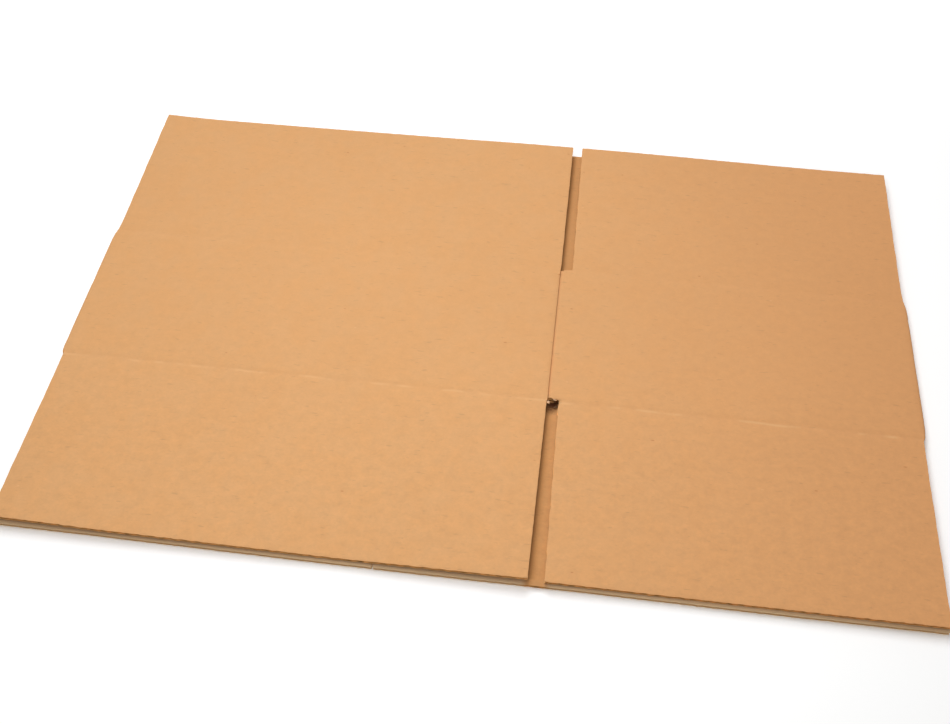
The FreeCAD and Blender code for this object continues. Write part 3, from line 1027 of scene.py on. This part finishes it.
@dataclass(frozen=True)
class Sleeve:
    """The folded wall panels with the glue tab and the lower layer."""

    tab_top: float = 5.35 * MM
    tab_thickness: float = 2.3 * MM
    core_depth: float = 2.1 * MM
    core_length: float = 0.988
    flute_run: float = 100 * MM
    rows: int = 44

    def _wrap(self, inset: float) -> np.ndarray:
        """Follow one side of the outer facing from the seam round both folds to the glue tab.

        Args:
            inset: Depth below the outer face, in metres.

        Returns:
            The places as stations by rows by three.
        """
        upper = (CARTON.upper_front_crease + CARTON.overlap, CARTON.upper_rear_crease - CARTON.overlap)
        lower = (CARTON.lower_front_crease, CARTON.lower_rear_crease)
        left = CARTON.left_shoulder
        right = CARTON.right_shoulder
        wide = spread((CARTON.seam, 1.0), (CARTON.seam - 4 * MM, 0.5 * MM), (left, 3.0 * MM))
        lines = [self._line(x, upper, False, inset) for x in wide]
        lines.extend(self._fold_line(-1.0, angle, inset) for angle in self.fold_angles())
        lines.extend(self._flat_line(x, lower, inset) for x in spread((left, 1.0), (right, 12.0 * MM)))
        lines.extend(self._fold_line(1.0, angle, inset) for angle in self.fold_angles()[::-1])
        narrow = spread((right, 1.0), (CARTON.bend_end, 3.0 * MM))
        lines.extend(self._line(x, upper, True, inset) for x in narrow)
        return np.stack(lines, 0)

    @staticmethod
    def fold_angles() -> np.ndarray:
        """Angles round a fold, from the upper face to the underside."""
        return np.linspace(0.02, math.pi - 0.02, 15)

    def _line(self, x: float, ends: tuple[float, float], narrow: bool, inset: float) -> np.ndarray:
        """Shape one station across an upper panel.

        Args:
            x: Its place along the row of panels, in metres.
            ends: Its front and rear ends along Y, in metres.
            narrow: Whether it lies on the narrow panel.
            inset: Depth below the outer face, in metres.

        Returns:
            The station's places as rows by three.
        """
        y = np.linspace(ends[0], ends[1], self.rows)
        across = np.full_like(y, x)
        z = UpperFace.height(across, y, narrow) - inset
        if not narrow:
            z = z - 0.5 * MM * np.exp(-(CARTON.seam - across) / (0.9 * MM))
        return np.stack([across, y, z], -1)

    def _flat_line(self, x: float, ends: tuple[float, float], inset: float) -> np.ndarray:
        """One station across the underside."""
        y = np.linspace(ends[0], ends[1], self.rows)
        return np.stack([np.full_like(y, x), y, np.full_like(y, inset)], -1)

    def _fold_line(self, sign: float, angle: float, inset: float) -> np.ndarray:
        """One station round a folded edge.

        Args:
            sign: -1 at the left fold and 1 at the right one.
            angle: Angle from the upper face, in radians.
            inset: Depth below the outer face.

        Returns:
            The station's places as rows by three.
        """
        half = CARTON.fold_top / 2
        share = angle / math.pi
        upper_front = CARTON.upper_front_crease + 0.3 * MM
        upper_rear = CARTON.upper_rear_crease - 0.3 * MM
        start = upper_front + (CARTON.lower_front_crease - upper_front) * share
        end = upper_rear + (CARTON.lower_rear_crease - upper_rear) * share
        y = np.linspace(start, end, self.rows)
        bulge = CARTON.bulge - inset
        swell = 1.0 + ripple(y, 45 * MM, 0.10, 5 if sign > 0 else 6)
        swell = swell - 0.8 * np.exp(-np.minimum(y - start, end - y) / (2.2 * MM))
        shoulder = CARTON.right_shoulder if sign > 0 else CARTON.left_shoulder
        x = shoulder + sign * bulge * math.sin(angle) * np.minimum(swell, 1.0)
        z = half + (half - inset) * math.cos(angle)
        return np.stack([x, y, np.full_like(y, z)], -1)

    def _fold_cores(self, shell: Shell) -> None:
        """Add the crushed flutes inside both folds, a little shorter than the folds.

        Args:
            shell: The sleeve's mesh so far.
        """
        for sign in (-1.0, 1.0):
            grids = []
            for inset in (BOARD.facing, self.core_depth):
                lines = np.stack([self._fold_line(sign, angle, inset) for angle in self.fold_angles()], 0)
                lines[:, :, 1] *= self.core_length
                grids.append(lines)
            shell.add_slab(grids[0], grids[1], Finish.FLUTE, Finish.INNER)

    def _panels(self, shell: Shell) -> None:
        """Add the outer facing's wrap and the inner facings of the upper panels.

        Args:
            shell: The sleeve's mesh so far.
        """
        outer = self._wrap(0.0)
        shell.add_slab(outer, self._wrap(BOARD.facing), Finish.OUTER, Finish.CUT)
        ends = (CARTON.upper_front_crease + CARTON.overlap, CARTON.upper_rear_crease - CARTON.overlap)
        for narrow, start, end in ((False, CARTON.left_shoulder + CARTON.inner_inset, CARTON.seam),
                                   (True, CARTON.bend_end, CARTON.right_shoulder - CARTON.inner_inset)):
            stations = spread((start, 1.0), (end, 4.0 * MM))
            deep = BOARD.thickness - BOARD.facing
            top = np.stack([self._line(x, ends, narrow, deep) for x in stations], 1)
            under = np.stack([self._line(x, ends, narrow, BOARD.thickness) for x in stations], 1)
            shell.add_slab(top, under, Finish.CUT, Finish.INNER)

    def _tab(self, shell: Shell) -> None:
        """Add the glue tab and the bend that takes it under the wide panel.

        Args:
            shell: The sleeve's mesh so far.
        """
        across = spread((CARTON.bend_end, 1.0), (CARTON.seam - 3.0 * MM, 0.4 * MM),
                        (CARTON.tab_end, 4.0 * MM))
        drop = ease((CARTON.bend_end - across) / (CARTON.bend_end - CARTON.seam + 2.8 * MM))
        past = np.clip((CARTON.seam - across) / (CARTON.seam - CARTON.tab_end), 0.0, 1.0)
        taper = CARTON.tab_taper * past
        high = []
        low = []
        for x, fall, narrowing in zip(across, drop, taper):
            y = np.linspace(CARTON.upper_front_crease + 2.2 * MM + narrowing,
                            CARTON.upper_rear_crease - 1.0 * MM - narrowing, self.rows)
            line = np.full_like(y, x)
            start = UpperFace.height(np.full_like(y, CARTON.bend_end), y, True)
            z = start + (self.tab_top - start) * fall
            thick = BOARD.thickness + (self.tab_thickness - BOARD.thickness) * fall
            high.append(np.stack([line, y, z], -1))
            low.append(np.stack([line, y, z - thick], -1))
        shell.add_slab(np.stack(high, 1), np.stack(low, 1), Finish.OUTER, Finish.INNER)

    def _lower(self, shell: Shell) -> None:
        """Add the lower layer's inner facing and its flaps.

        Args:
            shell: The sleeve's mesh so far.
        """
        creases = (CARTON.lower_front_crease, CARTON.lower_rear_crease)
        slot_left = CARTON.lower_slot - CARTON.lower_slot_half
        slot_right = CARTON.lower_slot + CARTON.lower_slot_half
        side = CARTON.flap_side
        thick = BOARD.thickness
        ends = (CARTON.left_shoulder + CARTON.inner_inset, CARTON.right_shoulder - CARTON.inner_inset)
        self._block(shell, ends, creases, (thick - BOARD.facing, thick))
        for seed, (left, right) in enumerate(((-side, slot_left), (slot_right, side))):
            for front in (True, False):
                crease = creases[0] if front else creases[1]
                for level in ((0.0, BOARD.facing), (thick - BOARD.facing, thick)):
                    self._lower_flap(shell, left, right, crease, front, level, 90 + seed)

    def _lower_flap(self, shell: Shell, left: float, right: float, crease: float, front: bool,
                    level: tuple[float, float], seed: int) -> None:
        """Add one facing of a lower flap, from its crease to its free edge.

        Args:
            shell: The sleeve's mesh so far.
            left: The flap's left side along X, in metres.
            right: Its right side.
            crease: Its crease along Y.
            front: Whether it is a front flap.
            level: Heights of the facing's lower and upper sides.
            seed: Seed of the cut edge's ripples.
        """
        x = spread((left, 1.0), (left + 2 * MM, 0.6 * MM), (right - 2 * MM, 2.2 * MM), (right, 0.6 * MM))
        edge = self.lower_edge(x, front) + ripple(x, 8 * MM, 0.12 * MM, seed)
        edge = edge + ripple(x, 2.1 * MM, 0.05 * MM, seed)
        edge = np.maximum(edge, CARTON.lower_front_limit) if front else edge
        share = spread((0.0, 1.0), (0.9, 0.1), (0.98, 0.02), (1.0, 0.005))
        y = crease + (edge - crease)[None, :] * share[:, None]
        across = np.repeat(x[None, :], len(share), 0)
        grids = [np.stack([across, y, np.full_like(y, z)], -1) for z in level]
        bottom_side = level[0] == 0.0
        shell.add_slab(grids[1], grids[0], Finish.CUT if bottom_side else Finish.INNER,
                       Finish.OUTER if bottom_side else Finish.CUT)

    @staticmethod
    def lower_edge(x: np.ndarray, front: bool) -> np.ndarray:
        """Follow the lower layer's free edge.

        Args:
            x: Places along the row of panels, in metres.
            front: Whether to read the front edge.

        Returns:
            The edge's places along Y, in metres.
        """
        if front:
            knots = ((-265, -162.4), (-200, -162.5), (-150, -162.8), (-60, -163.2), (0, -163.25),
                     (48, -163.0), (150, -163.2), (265, -162.9))
            return smooth_line(x / MM, knots) * MM
        return np.full_like(x, CARTON.lower_rear_edge)

    @staticmethod
    def _block(shell: Shell, sides: tuple[float, float], ends: tuple[float, float],
               level: tuple[float, float]) -> None:
        """Add a level sheet between two heights.

        Args:
            shell: The sleeve's mesh so far.
            sides: Its left and right sides along X, in metres.
            ends: Its front and rear ends along Y.
            level: Its lower and upper heights.
        """
        x = spread((sides[0], 1.0), (sides[1], 12.0 * MM))
        y = np.linspace(ends[0], ends[1], 12)
        across, along = np.meshgrid(x, y)
        grids = [np.stack([across, along, np.full_like(across, z)], -1) for z in level]
        shell.add_slab(grids[1], grids[0], Finish.INNER, Finish.CUT)

    def make_sheets(self, materials: list[bpy.types.Material]) -> bpy.types.Object:
        """Build the facings of the sleeve as one piece.

        Args:
            materials: The board's materials.

        Returns:
            The finished piece.
        """
        shell = Shell()
        self._panels(shell)
        self._fold_cores(shell)
        self._tab(shell)
        self._lower(shell)
        for bit in TORN_BITS:
            shell.add_slab(*bit.sides(), Finish.TORN, Finish.INNER)
        piece = shell.make("sleeve_facings", materials)
        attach(piece, "sleeve")
        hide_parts("folded_wall")
        return piece

    def make_flutes(self, paper: FlutedPaper) -> list[bpy.types.Object]:
        """Build the fluted paper of the lower flaps and of the wide panel's cut side.

        Args:
            paper: The tree that makes fluted paper.

        Returns:
            The finished pieces.
        """
        pieces = []
        slot_left = CARTON.lower_slot - CARTON.lower_slot_half
        slot_right = CARTON.lower_slot + CARTON.lower_slot_half
        for name, left, right, front, seed in (
                ("lower_front_narrow_flutes", -CARTON.flap_side, slot_left, True, 3),
                ("lower_front_wide_flutes", slot_right, CARTON.flap_side, True, 4),
                ("lower_rear_narrow_flutes", -CARTON.flap_side, slot_left, False, 5),
                ("lower_rear_wide_flutes", slot_right, CARTON.flap_side, False, 6)):
            width = right - left - 0.6 * MM
            crease = CARTON.lower_front_crease if front else CARTON.lower_rear_crease
            piece = paper.make(name, width, self.flute_run, 4, seed)
            flat = read_places(piece)
            x = (left + right) / 2 + flat[:, 0]
            edge = self.lower_edge(x, front) + (0.4 * MM if front else -0.4 * MM)
            start = crease + (edge - crease) * 0.06
            y = start + (edge - start) * (flat[:, 1] / self.flute_run + 0.5)
            z = BOARD.thickness / 2 + flat[:, 2] - BOARD.flute_paper / 2
            write_places(piece, x, y, z)
            pieces.append(piece)
        pieces.append(self._seam_flutes(paper))
        for piece in pieces:
            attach(piece, "sleeve")
        return pieces

    @staticmethod
    def _seam_flutes(paper: FlutedPaper) -> bpy.types.Object:
        """Build the fluted paper along the wide panel's cut side at the seam.

        Args:
            paper: The tree that makes fluted paper.

        Returns:
            The piece.
        """
        width = 20 * MM
        depth = CARTON.upper_rear_crease - CARTON.upper_front_crease - 2 * CARTON.overlap
        piece = paper.make("seam_flutes", width, depth, 10, 9)
        flat = read_places(piece)
        x = CARTON.seam - 0.4 * MM - width / 2 + flat[:, 0]
        y = (CARTON.upper_rear_crease + CARTON.upper_front_crease) / 2 + flat[:, 1]
        z = UpperFace.height(x, y, False) - BOARD.thickness / 2 + flat[:, 2] - BOARD.flute_paper / 2
        write_places(piece, x, y, z)
        return piece


@dataclass(frozen=True)
class Studio:
    """Floor, lamps and camera."""

    focal: float = 903.21
    pitch: float = 57.48
    yaw: float = 6.72
    place: tuple[float, float, float] = (0.04238, -0.32503, 0.47902)
    center: tuple[float, float] = (497.63, 363.0)
    key_power: float = 14.0
    key_place: tuple[float, float, float] = (-0.263, 0.879, 1.293)
    key_size: float = 0.9
    top_power: float = 0.662
    top_place: tuple[float, float, float] = (-0.075, -0.10, 0.453)
    top_size: float = 0.24
    front_power: float = 1.6
    front_place: tuple[float, float, float] = (0.05, -1.25, 0.40)
    front_size: float = 0.4
    lamp_color: tuple[float, float, float] = (0.975, 1.0, 1.03)
    world: float = 0.277
    world_color: tuple[float, float, float, float] = (1.0, 0.95, 0.88, 1.0)
    floor_reach: float = 4.0
    floor_white: float = 0.93
    floor_lift: float = 0.34
    far_start: float = 0.36
    far_end: float = 0.95

    def make(self) -> None:
        """Build the floor, the lamps, the world and the camera."""
        self._make_floor()
        self._make_world()
        self._make_lamp("key_softbox", self.key_place, self.key_size, self.key_power)
        self._make_lamp("top_softbox", self.top_place, self.top_size, self.top_power)
        self._make_lamp("front_softbox", self.front_place, self.front_size, self.front_power)
        self._make_camera()
        bpy.context.scene.view_settings.view_transform = "Standard"

    @staticmethod
    def _seen(sketch: NodeSketch) -> bpy.types.NodeSocket:
        """Tell camera, mirror and glass rays from the light's own.

        Args:
            sketch: The sketch to draw in.

        Returns:
            1 for such a ray and 0 for any other.
        """
        rays = sketch.add("ShaderNodeLightPath").outputs
        direct = sketch.math("MAXIMUM", rays["Is Camera Ray"], rays["Is Glossy Ray"])
        return sketch.math("MAXIMUM", direct, rays["Is Transmission Ray"])

    def _make_floor(self) -> None:
        """Lay a plain white floor that keeps the carton's shadow."""
        mesh = bpy.data.meshes.new("studio_floor")
        reach = self.floor_reach
        corners = [(-reach, -reach, 0.0), (reach, -reach, 0.0), (reach, reach, 0.0), (-reach, reach, 0.0)]
        mesh.from_pydata(corners, [], [(0, 1, 2, 3)])
        material = bpy.data.materials.new("white_floor")
        material.use_nodes = True
        sketch = NodeSketch(material.node_tree)
        white = (self.floor_white, self.floor_white, self.floor_white, 1.0)
        plain = sketch.add("ShaderNodeBsdfDiffuse", {"Color": white})
        lift = sketch.math("MULTIPLY", self._seen(sketch), self.floor_lift)
        tone = sketch.add("ShaderNodeCombineColor", {"Red": lift, "Green": lift, "Blue": lift})
        lifted = sketch.add("ShaderNodeBsdfDiffuse", {"Color": tone.outputs["Color"]})
        both = sketch.add("ShaderNodeAddShader", {0: plain.outputs["BSDF"], 1: lifted.outputs["BSDF"]})
        place = sketch.add("ShaderNodeTexCoord").outputs["Object"]
        away = sketch.add("ShaderNodeVectorMath", {0: place}, operation="LENGTH").outputs["Value"]
        far = sketch.math("MULTIPLY", self._seen(sketch), sketch.curve(away, self.far_start, self.far_end))
        glow = sketch.add("ShaderNodeEmission", {"Strength": far})
        whole = sketch.add("ShaderNodeAddShader", {0: both.outputs["Shader"], 1: glow.outputs["Emission"]})
        leave = material.node_tree.nodes["Material Output"]
        sketch.feed(leave.inputs["Surface"], whole.outputs["Shader"])
        material.node_tree.nodes.remove(material.node_tree.nodes["Principled BSDF"])
        mesh.materials.append(material)
        floor = bpy.data.objects.new("studio_floor", mesh)
        bpy.context.scene.collection.objects.link(floor)

    def _make_world(self) -> None:
        """Light the scene softly all round, before a white background."""
        world = bpy.data.worlds.new("studio_world")
        world.use_nodes = True
        sketch = NodeSketch(world.node_tree)
        shader = world.node_tree.nodes["Background"]
        seen = self._seen(sketch)
        strength = sketch.math("MULTIPLY_ADD", seen, 1.0 - self.world, self.world)
        sketch.feed(shader.inputs["Strength"], strength)
        color = sketch.add("ShaderNodeMix", {0: seen, 6: self.world_color, 7: (1.0, 1.0, 1.0, 1.0)},
                           data_type="RGBA")
        sketch.feed(shader.inputs["Color"], color.outputs[2])
        bpy.context.scene.world = world

    def _make_lamp(self, name: str, place: tuple[float, float, float], size: float, power: float) -> None:
        """Hang a square softbox that faces the carton.

        Args:
            name: Name of the lamp.
            place: Where it hangs, in metres.
            size: Length of its side, in metres.
            power: Its power, in watts.
        """
        light = bpy.data.lights.new(name, "AREA")
        light.size = size
        light.energy = power
        light.color = self.lamp_color
        lamp = bpy.data.objects.new(name, light)
        lamp.location = place
        lamp.rotation_euler = (-Vector(place)).to_track_quat("-Z", "Y").to_euler()
        lamp.visible_camera = False
        bpy.context.scene.collection.objects.link(lamp)

    def _make_camera(self) -> None:
        """Stand the camera at the photograph's viewpoint."""
        data = bpy.data.cameras.new("view_camera")
        data.sensor_width = 36.0
        data.lens = self.focal / PHOTO_WIDTH * data.sensor_width
        data.shift_x = (PHOTO_WIDTH / 2 - self.center[0]) / PHOTO_WIDTH
        data.shift_y = (self.center[1] - PHOTO_HEIGHT / 2) / PHOTO_WIDTH
        data.clip_start = 0.01
        camera = bpy.data.objects.new("view_camera", data)
        camera.location = self.place
        camera.rotation_euler = Euler((math.radians(90.0 - self.pitch), 0.0, math.radians(self.yaw)))
        bpy.context.scene.collection.objects.link(camera)
        bpy.context.scene.camera = camera


def report(piece: bpy.types.Object) -> None:
    """Log a finished piece and its number of triangles."""
    triangles = sum(len(face.vertices) - 2 for face in piece.data.polygons)
    LOG.info("%s: %d triangles", piece.name, triangles)


def main() -> None:
    """Build the carton piece by piece, then the studio round it."""
    logging.basicConfig(level=logging.INFO, format="%(name)s %(message)s")
    finishes = BoardFinishes()
    paper = FlutedPaper(finishes.materials[Finish.FLUTE])
    sleeve = Sleeve()
    report(sleeve.make_sheets(finishes.materials))
    for piece in sleeve.make_flutes(paper):
        report(piece)
    for flap in UPPER_FLAPS:
        report(flap.make_facings(finishes.materials))
        report(flap.make_flutes(paper))
    Studio().make()


if __name__ == "__main__":
    main()
